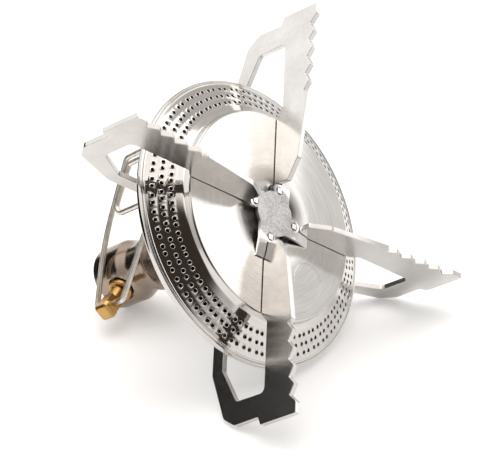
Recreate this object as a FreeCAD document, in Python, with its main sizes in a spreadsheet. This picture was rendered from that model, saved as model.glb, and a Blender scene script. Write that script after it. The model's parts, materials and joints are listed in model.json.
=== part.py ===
import FreeCAD, Part
import math
import os
import Sketcher

# Screw-on gas stove: a valve body that screws on a canister, a mixing tube, a wide low burner
# head and four serrated sheet supports that swing about upright pivots beside the hub.
# Origin: centre of the canister socket's mouth. +Z: up, along the mixing tube.
# Heights called "over the rim" are measured from the burner's rim plane.

doc = FreeCAD.newDocument("camping_stove")
sheet = doc.addObject("Spreadsheet::Sheet", "Sizes")


class Size:
    """A number together with the sheet expression that it comes from."""

    def __init__(self, value, text):
        self.value = float(value)
        self.text = text

    def __add__(self, other):
        return joined(self, "+", other)

    def __radd__(self, other):
        return joined(other, "+", self)

    def __sub__(self, other):
        return joined(self, "-", other)

    def __rsub__(self, other):
        return joined(other, "-", self)

    def __mul__(self, other):
        return joined(self, "*", other)

    def __rmul__(self, other):
        return joined(other, "*", self)

    def __truediv__(self, other):
        return joined(self, "/", other)

    def __neg__(self):
        return joined(0, "-", self)


def as_size(number):
    return number if isinstance(number, Size) else Size(number, repr(float(number)))


def joined(left, sign, right):
    left = as_size(left)
    right = as_size(right)
    results = {
        "+": left.value + right.value,
        "-": left.value - right.value,
        "*": left.value * right.value,
        "/": left.value / (right.value or 1.0),
    }
    return Size(results[sign], "(%s %s %s)" % (left.text, sign, right.text))


SIZES = {
    # whole stove
    "rim_height": 55.0,         # socket mouth to rim plane
    "rim_radius": 40.0,
    "skin": 0.6,                # pressed sheet of the burner
    "fit_gap": 0.2,             # free room beside a moving piece
    "run_gap": 0.05,            # radial running clearance
    # valve body
    "body_radius": 8.8,
    "neck_radius": 7.3,
    "shoulder_low": 8.8,
    "shoulder_high": 13.0,
    "body_height": 17.0,
    "body_chamfer": 0.6,
    "flat_reach": 7.8,          # axis to the milled flat
    "thread_radius": 5.25,      # 7/16-28 UNEF canister thread, plain bore
    "thread_length": 4.4,
    "seal_radius": 5.65,
    "seal_depth": 1.0,
    "probe_radius": 0.8,
    "probe_drop": 0.9,
    "probe_stub": 0.5,
    "stub_length": 0.35,
    "filter_radius": 3.9,
    "filter_thickness": 0.4,
    "passage_radius": 0.8,
    "jet_shank_radius": 1.5,
    "jet_shank_length": 2.4,
    "jet_head_across": 5.0,
    "jet_head_height": 2.2,
    "jet_orifice": 0.25,
    "tube_seat_depth": 4.5,
    # valve
    "valve_height": 7.6,        # socket mouth to the stem's axis
    "gland_recess_radius": 3.9,
    "gland_recess_reach": 6.2,
    "gland_radius": 3.4,
    "gland_face_reach": 9.2,
    "gland_lip": 0.7,
    "gland_shank_radius": 1.7,
    "gland_shank_reach": 3.9,
    "stem_radius": 1.2,
    "seat_reach": 1.6,
    "seat_radius": 0.5,
    "needle_reach": 0.9,
    "seal_cord": 0.22,
    "shank_radius": 2.2,
    "shank_reach": 9.6,
    "block_reach": 13.0,
    "block_length": 3.6,
    "block_thickness": 3.4,
    "block_width": 4.4,
    "head_length": 2.2,
    "head_across": 4.8,
    "head_chamfer": 0.6,
    "pivot_reach": 15.0,        # axis of the stove to the wire's cross-hole
    "wire_radius": 0.8,
    "leg_gap": 10.8,            # between the wire's two legs at the hinge
    "bend_radius": 2.0,
    "tight_bend": 1.4,
    "knee_bend": 1.0,
    "hang_reach": 17.5,         # hinge to the middle of the long leg's slow bend, along the fold
    "hang_bend": 60.0,
    "grip_foot_reach": 38.8,    # hinge to the doubled grip, and its heights over the stem's axis
    "grip_foot_height": 12.6,
    "grip_knee_height": 13.5,
    "grip_end_reach": 39.2,
    "grip_end_height": 25.4,
    "grip_gap": 0.4,            # free room between the grip's two strands
    "elbow_reach": 24.2,
    "elbow_low": 5.0,
    "elbow_high": 22.6,
    # mixing tube and the stack that it clamps
    "tube_radius": 5.5,
    "tube_wall": 0.6,
    "flange_width": 1.5,
    "air_hole_radius": 1.7,
    "air_hole_height": 24.0,
    "collar_radius": 8.2,
    "collar_height": 2.6,
    "screw_radius": 1.0,
    "nut_wall": 1.0,
    "nut_height": 3.5,
    "spacer_wall": 0.5,
    # burner head, over the rim
    "cap_height": 7.3,
    "cap_radius": 28.8,
    "cap_drop": 0.3,
    "cone_top_radius": 29.6,
    "cone_top_height": 5.5,
    "cone_foot_radius": 38.2,
    "cone_foot_height": 1.0,
    "rim_bead": 1.0,
    "bowl_depth": 5.9,
    "bowl_floor_radius": 32.8,
    "port_radius": 0.5,
    "port_row_first": 32.6,
    "port_row_pitch": 2.25,
    "ports_in_row": 102,
    "rivet_radius": 1.5,
    "rivet_head_radius": 3.0,
    "rivet_head_height": 1.4,
    "spreader_radius": 24.0,
    "spreader_height": 2.6,
    # hub plate, over the rim
    "plate_thickness": 0.8,
    "plate_height": 8.9,
    "plate_gap": 0.15,          # hub plate to a folded support's side
    "ear_radius": 1.85,
    "tongue_reach": 13.3,
    "tongue_bend": 8.6,
    "tongue_width": 2.8,
    "lower_plate_thickness": 1.1,
    "lower_plate_margin": 2.2,  # swing axis to the lower plate's edge
    # pot support
    "blade": 1.5,               # sheet thickness
    "blade_offset": 1.3,        # stove axis to the sheet's middle plane
    "hinge_gap": 0.4,           # hub and tube spacers to the tang
    "tang_width": 1.6,
    "tang_stand": 0.3,          # tang over the hub plate
    "finger_height": 1.0,       # arm under the hub plate
    "nose_gap": 0.15,           # ear of the hub plate to the arm's nose
    "nose_height": 12.6,
    "brow_reach": 14.6,
    "brow_height": 15.9,
    "teeth_start": 33.5,
    "teeth_start_height": 18.9,
    "tooth_pitch": 5.03,
    "tooth_depth": 2.0,
    "tooth_lead": 2.2,
    "tooth_rise": 0.43,
    "first_peak": 36.5,
    "first_peak_height": 19.3,
    "tip_reach": 59.9,
    "tip_height": 21.4,
    "heel_height": 8.7,
    "heel_step": 2.3,
    "leg_reach": 58.0,
    "leg_foot": 1.0,            # drop below the rim where the corner starts
    "toe_reach": 55.3,
    "toe_drop": 5.2,
    "slope_reach": 42.0,
    "arm_drop": 10.3,
    "arm_width": 4.0,
    "window_reach": 51.4,
    "window_foot": 0.5,
    "window_height": 9.6,
    "window_brow_reach": 31.7,
    "window_step_reach": 29.5,
    "window_corner": 1.6,
    "toe_round": 2.5,
    "support_count": 4,
}
TOOTH_COUNT = 5
PORT_ROWS = 3
HAIRPIN_SHARE = 0.98            # bend of the grip's end, of half its strands' pitch
TIP_SHARE = 0.7                 # probe's tip, of its radius
FLAT_SHARE = 0.6                # flat middle of the spreader and of the rivet's head
BEAD_FOOT = 1.4                 # rim edge to each bend of the rolled rim, in bead sizes
BEAD_FOLD = 1.6
BEAD_WALL = 0.7
BEAD_DROP = 1.5
KNEE_REACH = 1.2                # rolled rim to the bowl's knee, in sheet thicknesses
KNEE_DROP = 3.0
VALVE_AZIMUTH = 239.0           # degrees about +Z from +X
HANDLE_AZIMUTH = 102.0          # direction of the folded wire
FIRST_SUPPORT_AZIMUTH = 90.0

S = {}
for row, (alias, number) in enumerate(SIZES.items(), start=1):
    sheet.set("A%d" % row, alias)
    sheet.set("B%d" % row, str(number))
    sheet.setAlias("B%d" % row, alias)
    S[alias] = Size(number, "Sizes." + alias)
doc.recompute()


def bind(thing, prop, size):
    """Sets a property's value and ties it to the sheet."""
    size = as_size(size)
    setattr(thing, prop, size.value)
    thing.setExpression(prop, size.text)


def new_body(label):
    body = doc.addObject("PartDesign::Body", label)
    body.Label = label
    return body


def new_sketch(body, name, role, offset=0):
    """A sketch on one of the body's own origin planes, moved along the plane's normal."""
    sketch = body.newObject("Sketcher::SketchObject", name)
    plane = [item for item in body.Origin.OriginFeatures if item.Role == role][0]
    sketch.AttachmentSupport = (plane, [""])
    sketch.MapMode = "FlatFace"
    offset = as_size(offset)
    sketch.AttachmentOffset = FreeCAD.Placement(FreeCAD.Vector(0, 0, offset.value), FreeCAD.Rotation())
    sketch.setExpression("AttachmentOffset.Base.z", offset.text)
    return sketch


def pin_point(sketch, geometry, end, point):
    """Fixes a point of the sketch at the sizes given."""
    for kind, axis, size in (("DistanceX", -2, point[0]), ("DistanceY", -1, point[1])):
        size = as_size(size)
        if abs(size.value) < 1e-9:
            sketch.addConstraint(Sketcher.Constraint("PointOnObject", geometry, end, axis))
        else:
            index = sketch.addConstraint(Sketcher.Constraint(kind, -1, 1, geometry, end, size.value))
            sketch.setExpression("Constraints[%d]" % index, size.text)


def draw_outline(sketch, points):
    """Closed outline of straight lines through the points."""
    flat = [(as_size(x), as_size(y)) for x, y in points]
    first = sketch.GeometryCount
    count = len(flat)
    for index, (x, y) in enumerate(flat):
        x2, y2 = flat[(index + 1) % count]
        start = FreeCAD.Vector(x.value, y.value, 0)
        sketch.addGeometry(Part.LineSegment(start, FreeCAD.Vector(x2.value, y2.value, 0)))
    for index in range(count):
        after = first + (index + 1) % count
        sketch.addConstraint(Sketcher.Constraint("Coincident", first + index, 2, after, 1))
    for index, point in enumerate(flat):
        pin_point(sketch, first + index, 1, point)


def draw_circle(sketch, centre, radius):
    x, y, radius = as_size(centre[0]), as_size(centre[1]), as_size(radius)
    middle = FreeCAD.Vector(x.value, y.value, 0)
    circle = sketch.addGeometry(Part.Circle(middle, FreeCAD.Vector(0, 0, 1), radius.value))
    pin_point(sketch, circle, 3, (x, y))
    index = sketch.addConstraint(Sketcher.Constraint("Radius", circle, radius.value))
    sketch.setExpression("Constraints[%d]" % index, radius.text)


def feature(body, kind, sketch):
    made = body.newObject("PartDesign::" + kind, kind.lower() + "_" + sketch.Name)
    made.Profile = sketch
    return made


def padded(body, sketch, length, backwards=False):
    pad = feature(body, "Pad", sketch)
    bind(pad, "Length", length)
    pad.Reversed = backwards
    return pad


def pocketed(body, sketch, length=None, backwards=False):
    """Cuts by length, or right through when no length is given."""
    pocket = feature(body, "Pocket", sketch)
    if length is None:
        pocket.Type = "ThroughAll"
    else:
        bind(pocket, "Length", length)
    pocket.Reversed = backwards
    return pocket


def turned(label, points, axis="V_Axis"):
    """A body turned from a half section in its XZ plane: about Z, or about X for H_Axis."""
    body = new_body(label)
    sketch = new_sketch(body, label + "_section", "XZ_Plane")
    draw_outline(sketch, points)
    revolution = feature(body, "Revolution", sketch)
    revolution.ReferenceAxis = (sketch, [axis])
    revolution.Angle = 360
    return body


def ring(label, inner, outer, low, high):
    return turned(label, [(inner, low), (outer, low), (outer, high), (inner, high)])


def repeated(body, original, count):
    """Repeats a feature evenly about the body's Z axis."""
    pattern = body.newObject("PartDesign::PolarPattern", "ring_of_" + original.Name)
    pattern.Originals = [original]
    axis = [item for item in body.Origin.OriginFeatures if item.Role == "Z_Axis"][0]
    pattern.Axis = (axis, [""])
    pattern.Angle = 360
    pattern.Occurrences = round(count.value)
    pattern.setExpression("Occurrences", count.text)
    body.Tip = pattern
    return pattern


def hexagon(across):
    """Corners of a hexagon of that width across its flats."""
    corner = as_size(across) / math.sqrt(3)
    angles = [math.radians(60 * k) for k in range(6)]
    return [(corner * round(math.cos(a), 9), corner * round(math.sin(a), 9)) for a in angles]


def turned_to(body, azimuth, height=0.0):
    """Turns a body that was drawn along +X to its azimuth, at its height."""
    turn = FreeCAD.Rotation(FreeCAD.Vector(0, 0, 1), azimuth)
    body.Placement = FreeCAD.Placement(FreeCAD.Vector(0, 0, 0), turn)
    bind_height(body, height)


def bind_height(body, height):
    height = as_size(height)
    body.setExpression("Placement.Base.z", height.text)


def at(height):
    """A height over the rim plane, measured from the socket's mouth."""
    return S["rim_height"] + height


# ---------------------------------------------------------------- heights that pieces share
socket_roof = S["thread_length"] + S["seal_depth"]
tube_seat = S["body_height"] - S["tube_seat_depth"]
jet_foot = tube_seat - S["jet_shank_length"]
bowl_bottom = at(-S["bowl_depth"])
tube_top = bowl_bottom + 2 * S["skin"]
lower_plate_top = at(-S["arm_drop"] - S["fit_gap"])
lower_plate_bottom = lower_plate_top - S["lower_plate_thickness"]
cap_top = at(S["cap_height"])
cap_bottom = cap_top - S["skin"]
plate_top = at(S["plate_height"])
plate_bottom = plate_top - S["plate_thickness"]
spreader_bottom = at(S["spreader_height"])
spreader_top = spreader_bottom + S["skin"]
gland_bore = S["stem_radius"] + S["run_gap"]
half_blade = S["blade"] / 2
tang_half = S["tang_width"] / 2
flange_radius = S["tube_radius"] + S["flange_width"]
hub_spacer_radius = S["tube_radius"] + S["hinge_gap"]
# stove axis to the swing axis, along the support
hinge_reach = S["tube_radius"] + S["spacer_wall"] + S["hinge_gap"] + tang_half
plate_radius = hinge_reach - half_blade - S["plate_gap"]
nose_reach = hinge_reach + S["ear_radius"] + S["nose_gap"]
tang_hole = as_size(math.hypot(SIZES["tang_width"], SIZES["blade"]) / 2 + SIZES["run_gap"])
tang_hole.text = "(sqrt(Sizes.tang_width ^ 2 + Sizes.blade ^ 2) / 2 + Sizes.run_gap)"


# ---------------------------------------------------------------- canister end
def make_valve_body():
    """Turned housing: socket below, tube seat above, a flat and the valve bore in its side."""
    body = turned("valve_body", [
        (S["thread_radius"], 0),
        (S["body_radius"] - S["body_chamfer"], 0),
        (S["body_radius"], S["body_chamfer"]),
        (S["body_radius"], S["shoulder_low"]),
        (S["neck_radius"], S["shoulder_high"]),
        (S["neck_radius"], S["body_height"]),
        (S["tube_radius"], S["body_height"]),
        (S["tube_radius"], tube_seat),
        (S["jet_shank_radius"], tube_seat),
        (S["jet_shank_radius"], jet_foot),
        (S["passage_radius"], jet_foot),
        (S["passage_radius"], S["valve_height"] - S["seat_radius"]),
        (0, S["valve_height"] - S["seat_radius"]),
        (0, socket_roof + S["stub_length"]),
        (S["probe_stub"], socket_roof + S["stub_length"]),
        (S["probe_stub"], socket_roof),
        (S["seal_radius"], socket_roof),
        (S["seal_radius"], S["thread_length"]),
        (S["thread_radius"], S["thread_length"]),
    ])
    flat = new_sketch(body, "flat_section", "YZ_Plane", S["flat_reach"])
    draw_outline(flat, [
        (-S["body_radius"], -1),
        (S["body_radius"], -1),
        (S["body_radius"], S["body_height"] + 1),
        (-S["body_radius"], S["body_height"] + 1),
    ])
    pocketed(body, flat, backwards=True)
    cuts = (
        ("seat_bore", 0, S["seat_radius"]),
        ("valve_bore", S["seat_reach"], S["gland_shank_radius"]),
        ("gland_recess", S["gland_recess_reach"], S["gland_recess_radius"]),
    )
    for name, reach, radius in cuts:
        bore = new_sketch(body, name, "YZ_Plane", reach)
        draw_circle(bore, (0, S["valve_height"]), radius)
        pocketed(body, bore, backwards=True)
    inlet = new_sketch(body, "inlet", "XY_Plane", socket_roof - 1)
    draw_circle(inlet, ((S["seat_reach"] + S["gland_shank_reach"]) / 2, 0), S["seat_radius"])
    pocketed(body, inlet, 1 + S["valve_height"] - socket_roof, backwards=True)
    screws = new_sketch(body, "screw_holes", "XZ_Plane")
    draw_circle(screws, (0, tube_seat + S["tube_seat_depth"] / 2), S["screw_radius"])
    cross = feature(body, "Pocket", screws)
    cross.Type = "ThroughAll"
    cross.Midplane = True
    turned_to(body, VALVE_AZIMUTH)
    return body


def make_socket_pieces():
    """Seal, filter and probe, all held against the roof of the canister socket."""
    seal_cord = S["seal_depth"] / 2
    seal = doc.addObject("Part::Torus", "canister_seal")
    bind(seal, "Radius1", S["seal_radius"] - seal_cord)
    bind(seal, "Radius2", seal_cord)
    bind_height(seal, socket_roof - seal_cord)
    low = socket_roof - S["filter_thickness"]
    disc = ring("inlet_filter", S["probe_radius"], S["filter_radius"], low, socket_roof)
    probe = turned("valve_probe", [
        (0, socket_roof - S["probe_drop"]),
        (S["probe_radius"] * TIP_SHARE, socket_roof - S["probe_drop"]),
        (S["probe_radius"], socket_roof - S["probe_drop"] * TIP_SHARE),
        (S["probe_radius"], socket_roof),
        (S["probe_stub"], socket_roof),
        (S["probe_stub"], socket_roof + S["stub_length"]),
        (0, socket_roof + S["stub_length"]),
    ])
    return [seal, disc, probe]


def make_gas_jet():
    """Shank pressed below the tube's seat, hexagonal head above it, one fine orifice."""
    body = turned("gas_jet", [
        (S["jet_orifice"], jet_foot),
        (S["jet_shank_radius"], jet_foot),
        (S["jet_shank_radius"], tube_seat),
        (S["jet_orifice"], tube_seat),
    ])
    head = new_sketch(body, "jet_head", "XY_Plane", tube_seat)
    draw_outline(head, hexagon(S["jet_head_across"]))
    draw_circle(head, (0, 0), S["jet_orifice"])
    padded(body, head, S["jet_head_height"])
    return body


# ---------------------------------------------------------------- valve, drawn along +X
def make_gland_nut():
    body = turned("gland_nut", [
        (S["gland_shank_reach"], gland_bore),
        (S["gland_face_reach"] - S["gland_lip"], gland_bore),
        (S["gland_face_reach"] - S["gland_lip"], S["shank_radius"] + S["fit_gap"]),
        (S["gland_face_reach"], S["shank_radius"] + S["fit_gap"]),
        (S["gland_face_reach"], S["gland_radius"] - S["gland_lip"] / 2),
        (S["gland_face_reach"] - S["gland_lip"] / 2, S["gland_radius"]),
        (S["gland_recess_reach"], S["gland_radius"]),
        (S["gland_recess_reach"], S["gland_shank_radius"]),
        (S["gland_shank_reach"], S["gland_shank_radius"]),
    ], "H_Axis")
    turned_to(body, VALVE_AZIMUTH, S["valve_height"])
    return body


def make_stem_seal():
    """O-ring in the valve bore behind the gland's shank."""
    cord = S["seal_cord"]
    ring_radius = S["stem_radius"] + S["run_gap"] + cord
    seal = turned("stem_seal", [
        (S["gland_shank_reach"] - 2 * cord, ring_radius - cord),
        (S["gland_shank_reach"], ring_radius - cord),
        (S["gland_shank_reach"], ring_radius + cord),
        (S["gland_shank_reach"] - 2 * cord, ring_radius + cord),
    ], "H_Axis")
    turned_to(seal, VALVE_AZIMUTH, S["valve_height"])
    return seal


def make_valve_stem():
    """Needle, shank, flat-sided block with the wire's cross-hole, and a square head."""
    gap = S["run_gap"]
    body = turned("valve_stem", [
        (S["needle_reach"], 0),
        (S["needle_reach"], S["seat_radius"] / 2),
        (S["seat_reach"], S["seat_radius"] - gap),
        (S["seat_reach"] + gap, S["seat_radius"]),
        (S["seat_reach"] + S["stem_radius"] - S["seat_radius"], S["stem_radius"]),
        (S["shank_reach"], S["stem_radius"]),
        (S["shank_reach"], S["shank_radius"]),
        (S["block_reach"], S["shank_radius"]),
        (S["block_reach"], 0),
    ], "H_Axis")
    half_wide = S["block_width"] / 2
    half_thick = S["block_thickness"] / 2
    block = new_sketch(body, "stem_block", "YZ_Plane", S["block_reach"])
    draw_outline(block, [
        (-half_wide, -half_thick),
        (half_wide, -half_thick),
        (half_wide, half_thick),
        (-half_wide, half_thick),
    ])
    padded(body, block, S["block_length"])
    half_head = S["head_across"] / 2
    head = new_sketch(body, "stem_head", "YZ_Plane", S["block_reach"] + S["block_length"])
    corner = half_head - S["head_chamfer"]
    draw_outline(head, [
        (-half_head, -corner), (-corner, -half_head), (corner, -half_head), (half_head, -corner),
        (half_head, corner), (corner, half_head), (-corner, half_head), (-half_head, corner),
    ])
    padded(body, head, S["head_length"])
    doc.recompute()
    face_reach = (S["block_reach"] + S["block_length"] + S["head_length"]).value
    base = body.Tip
    names = edges_where(base.Shape, lambda v: abs(v.x - face_reach) < 1e-4)
    chamfer = body.newObject("PartDesign::Chamfer", "stem_head_edges")
    chamfer.Base = (base, names)
    bind(chamfer, "Size", S["head_chamfer"])
    body.Tip = chamfer
    hole = new_sketch(body, "wire_hole", "XY_Plane")
    draw_circle(hole, (S["pivot_reach"], 0), S["wire_radius"] + gap)
    cross = feature(body, "Pocket", hole)
    cross.Type = "ThroughAll"
    cross.Midplane = True
    turned_to(body, VALVE_AZIMUTH, S["valve_height"])
    return body


def edges_where(shape, wanted):
    """Names of the edges whose every end point passes the test."""
    names = []
    for number, edge in enumerate(shape.Edges, start=1):
        if all(wanted(vertex.Point) for vertex in edge.Vertexes):
            names.append("Edge%d" % number)
    return names


def unit(azimuth):
    angle = math.radians(azimuth)
    return FreeCAD.Vector(math.cos(angle), math.sin(angle), 0)


def bent_wire(points, radii):
    """Straight runs joined by tangent arcs, one radius for each inner point."""
    edges = []
    last = points[0]
    for before, corner, after, radius in zip(points, points[1:], points[2:], radii):
        back = (before - corner).normalize()
        onward = (after - corner).normalize()
        half_turn = back.getAngle(onward) / 2
        setback = radius / math.tan(half_turn)
        start = corner + back * setback
        end = corner + onward * setback
        inward = (back + onward).normalize()
        middle = corner + inward * (radius / math.sin(half_turn) - radius)
        edges.append(Part.LineSegment(last, start).toShape())
        edges.append(Part.Arc(start, middle, end).toShape())
        last = end
    edges.append(Part.LineSegment(last, points[-1]).toShape())
    return Part.Wire(edges)


def make_flame_adjuster():
    """One wire: two legs from the stem's cross-hole, a cross bar and a narrow doubled grip."""
    centre = S["valve_height"].value
    half_gap = S["leg_gap"].value / 2
    end = S["wire_radius"].value + S["fit_gap"].value
    bend = S["bend_radius"].value
    tight = S["tight_bend"].value
    strands = 2 * S["wire_radius"].value + S["grip_gap"].value
    hairpin = strands / 2 * HAIRPIN_SHARE
    # along the fold direction, over the stem's axis
    route = [
        (0, -end, None),
        (0, -half_gap, tight),
        (S["hang_reach"].value, 0, S["hang_bend"].value),
        (S["grip_foot_reach"].value, S["grip_foot_height"].value, bend),
        (S["grip_end_reach"].value, S["grip_end_height"].value, hairpin),
        (S["grip_end_reach"].value - strands, S["grip_end_height"].value, hairpin),
        (S["grip_foot_reach"].value - strands, S["grip_knee_height"].value, S["knee_bend"].value),
        (S["elbow_reach"].value, S["elbow_low"].value, bend),
        (S["elbow_reach"].value, S["elbow_high"].value, bend),
        (0, half_gap, tight),
        (0, end, None),
    ]
    hinge = unit(VALVE_AZIMUTH) * S["pivot_reach"].value + FreeCAD.Vector(0, 0, centre)
    along = unit(HANDLE_AZIMUTH)
    points = [hinge + along * u + FreeCAD.Vector(0, 0, height) for u, height, radius in route]
    spine = bent_wire(points, [radius for u, height, radius in route[1:-1]])
    start = spine.Edges[0].Vertexes[0].Point
    circle = Part.Wire(Part.Circle(start, FreeCAD.Vector(0, 0, 1), S["wire_radius"].value).toShape())
    wire = doc.addObject("Part::Feature", "flame_adjuster")
    wire.Shape = spine.makePipeShell([circle], True, False)
    section = math.pi * S["wire_radius"].value ** 2
    assert abs(wire.Shape.Volume / (section * spine.Length) - 1) < 0.02, "wire volume"
    wire.Placement = FreeCAD.Placement()
    return wire


# ---------------------------------------------------------------- mixing tube and its stack
def make_mixing_tube():
    inner = S["tube_radius"] - S["tube_wall"]
    body = turned("mixing_tube", [
        (inner, tube_seat + S["jet_head_height"] + S["tube_wall"]),
        (inner, tube_top),
        (flange_radius, tube_top),
        (flange_radius, tube_top - S["skin"]),
        (S["tube_radius"], tube_top - S["skin"]),
        (S["tube_radius"], tube_seat),
        (inner, tube_seat),
    ])
    for role in ("XZ_Plane", "YZ_Plane"):
        holes = new_sketch(body, "air_holes_" + role[:2], role)
        draw_circle(holes, (0, S["air_hole_height"]), S["air_hole_radius"])
        cross = feature(body, "Pocket", holes)
        cross.Type = "ThroughAll"
        cross.Midplane = True
    return body


def make_collar():
    low = S["body_height"]
    high = low + S["collar_height"]
    edge = S["body_chamfer"] / 2
    return turned("locking_collar", [
        (S["tube_radius"], low),
        (S["collar_radius"] - edge, low),
        (S["collar_radius"], low + edge),
        (S["collar_radius"], high - edge),
        (S["collar_radius"] - edge, high),
        (S["tube_radius"], high),
    ])


def make_tube_screws():
    """Two set screws through the neck, their ends against the tube."""
    inner = S["tube_radius"]
    length = S["neck_radius"] - inner
    screws = []
    for name, turn in (("screw_a", 90.0), ("screw_b", -90.0)):
        screw = doc.addObject("Part::Cylinder", name)
        bind(screw, "Radius", S["screw_radius"])
        bind(screw, "Height", length)
        out = unit(VALVE_AZIMUTH + turn)
        along = FreeCAD.Rotation(FreeCAD.Vector(0, 0, 1), out)
        height = (tube_seat + S["tube_seat_depth"] / 2).value
        screw.Placement = FreeCAD.Placement(out * inner.value + FreeCAD.Vector(0, 0, height), along)
        screws.append(screw)
    group = doc.addObject("Part::Compound", "tube_screws")
    group.Links = screws
    return group


def pivot_points():
    """Where the four tangs stand, seen from above, for one support along +X."""
    return (hinge_reach, -S["blade_offset"])


def make_lower_plate():
    edge = hinge_reach + S["lower_plate_margin"]
    body = ring("lower_pivot_plate", S["tube_radius"], edge, lower_plate_bottom, lower_plate_top)
    hole = new_sketch(body, "tang_hole", "XY_Plane")
    draw_circle(hole, pivot_points(), tang_hole)
    cut = pocketed(body, hole, backwards=True)
    repeated(body, cut, S["support_count"])
    return body


def make_spacer():
    inner = S["tube_radius"]
    return ring("support_spacer", inner, inner + S["spacer_wall"], lower_plate_top, bowl_bottom)


def make_tube_nut():
    body = new_body("tube_nut")
    section = new_sketch(body, "nut_section", "XY_Plane", lower_plate_bottom - S["nut_height"])
    draw_outline(section, hexagon(2 * (S["tube_radius"] + S["nut_wall"])))
    draw_circle(section, (0, 0), S["tube_radius"])
    padded(body, section, S["nut_height"])
    return body


# ---------------------------------------------------------------- burner head
def make_burner_top():
    """Flat cap, short step, perforated cone and a rim rolled around the bowl's edge."""
    skin = S["skin"]
    bead = S["rim_bead"]
    rim = S["rim_radius"]
    body = turned("burner_top", [
        (S["rivet_radius"], cap_top),
        (S["cap_radius"], cap_top),
        (S["cap_radius"] + S["cap_drop"], cap_top - S["cap_drop"]),
        (S["cone_top_radius"], at(S["cone_top_height"])),
        (S["cone_foot_radius"], at(S["cone_foot_height"])),
        (rim - BEAD_FOOT * bead, at(skin)),
        (rim - bead, at(bead)),
        (rim - bead / 2, at(bead)),
        (rim, at(bead / 2)),
        (rim, at(-bead)),
        (rim - bead / 2, at(-BEAD_DROP * bead)),
        (rim - BEAD_FOLD * bead, at(-BEAD_DROP * bead)),
        (rim - BEAD_FOLD * bead, at(-skin)),
        (rim - BEAD_WALL * bead, at(-skin)),
        (rim - BEAD_WALL * bead, at(0)),
        (S["cone_foot_radius"] - skin / 2, at(0)),
        (S["cone_top_radius"] - skin / 2, at(S["cone_top_height"] - skin)),
        (S["cap_radius"], cap_bottom - S["cap_drop"] / 2),
        (S["cap_radius"] - S["cap_drop"] / 2, cap_bottom),
        (S["rivet_radius"], cap_bottom),
    ])
    ports = new_sketch(body, "ports", "XY_Plane", at(-skin / 2))
    half_pitch = math.pi / SIZES["ports_in_row"]
    for row_number in range(PORT_ROWS):
        row = S["port_row_first"] + row_number * S["port_row_pitch"]
        shift = half_pitch * (row_number % 2)
        draw_circle(ports, (row * math.cos(shift), row * math.sin(shift)), S["port_radius"])
    holes = pocketed(body, ports, S["cap_height"], backwards=True)
    repeated(body, holes, S["ports_in_row"])
    return body


def make_burner_bowl():
    skin = S["skin"]
    floor = S["bowl_floor_radius"]
    rim = S["rim_radius"]
    bead = S["rim_bead"]
    lip = rim - BEAD_FOLD * bead
    return turned("burner_bowl", [
        (S["tube_radius"], bowl_bottom),
        (floor, bowl_bottom),
        (lip - KNEE_REACH * skin, at(-KNEE_DROP * skin)),
        (lip - skin / 2, at(-skin)),
        (rim - BEAD_WALL * bead, at(-skin)),
        (rim - BEAD_WALL * bead, at(0)),
        (S["cone_foot_radius"] - skin / 2, at(0)),
        (lip - KNEE_REACH * skin - skin, at(skin - KNEE_DROP * skin)),
        (floor - skin / 2, bowl_bottom + skin),
        (S["tube_radius"], bowl_bottom + skin),
    ])


def make_head_stack():
    """Flame spreader, its spacer, the hub's spacer and the rivet through them all."""
    core = S["rivet_radius"]
    spreader = turned("flame_spreader", [
        (core, spreader_bottom),
        (S["spreader_radius"] * FLAT_SHARE, spreader_bottom),
        (S["spreader_radius"], spreader_bottom - S["rivet_head_height"]),
        (S["spreader_radius"], spreader_top - S["rivet_head_height"]),
        (S["spreader_radius"] * FLAT_SHARE, spreader_top),
        (core, spreader_top),
    ])
    inner_spacer = ring("spreader_spacer", core, S["rivet_head_radius"], spreader_top, cap_bottom)
    hub_spacer = ring("hub_spacer", core, hub_spacer_radius, cap_top, plate_bottom)
    rivet = turned("hub_rivet", [
        (0, spreader_bottom - S["rivet_head_height"]),
        (S["rivet_head_radius"] * FLAT_SHARE, spreader_bottom - S["rivet_head_height"]),
        (S["rivet_head_radius"], spreader_bottom - S["rivet_head_height"] / 2),
        (S["rivet_head_radius"], spreader_bottom),
        (core, spreader_bottom),
        (core, plate_top),
        (0, plate_top),
    ])
    return [spreader, inner_spacer, hub_spacer, rivet]


def make_hub_plate():
    """Disc with an ear at each upper pivot and a tongue bent down to the cap beside it."""
    body = ring("hub_plate", S["rivet_radius"], plate_radius, plate_bottom, plate_top)
    ear = new_sketch(body, "ear", "XY_Plane", plate_bottom)
    draw_circle(ear, pivot_points(), S["ear_radius"])
    repeated(body, padded(body, ear, S["plate_thickness"]), S["support_count"])
    side = S["blade_offset"] + half_blade + S["fit_gap"]
    tongue = new_sketch(body, "tongue", "XZ_Plane", side)
    root = plate_radius / 2
    drop = S["plate_thickness"]
    draw_outline(tongue, [
        (root, plate_bottom),
        (S["tongue_bend"] - drop / 2, plate_bottom),
        (S["tongue_reach"] - drop / 2, cap_top),
        (S["tongue_reach"], cap_top),
        (S["tongue_reach"], cap_top + drop / 2),
        (S["tongue_bend"], plate_top),
        (root, plate_top),
    ])
    repeated(body, padded(body, tongue, S["tongue_width"]), S["support_count"])
    hole = new_sketch(body, "upper_tang_hole", "XY_Plane", plate_bottom - 1)
    draw_circle(hole, pivot_points(), tang_hole)
    repeated(body, pocketed(body, hole, S["plate_thickness"] + 2, backwards=True), S["support_count"])
    return body


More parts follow.
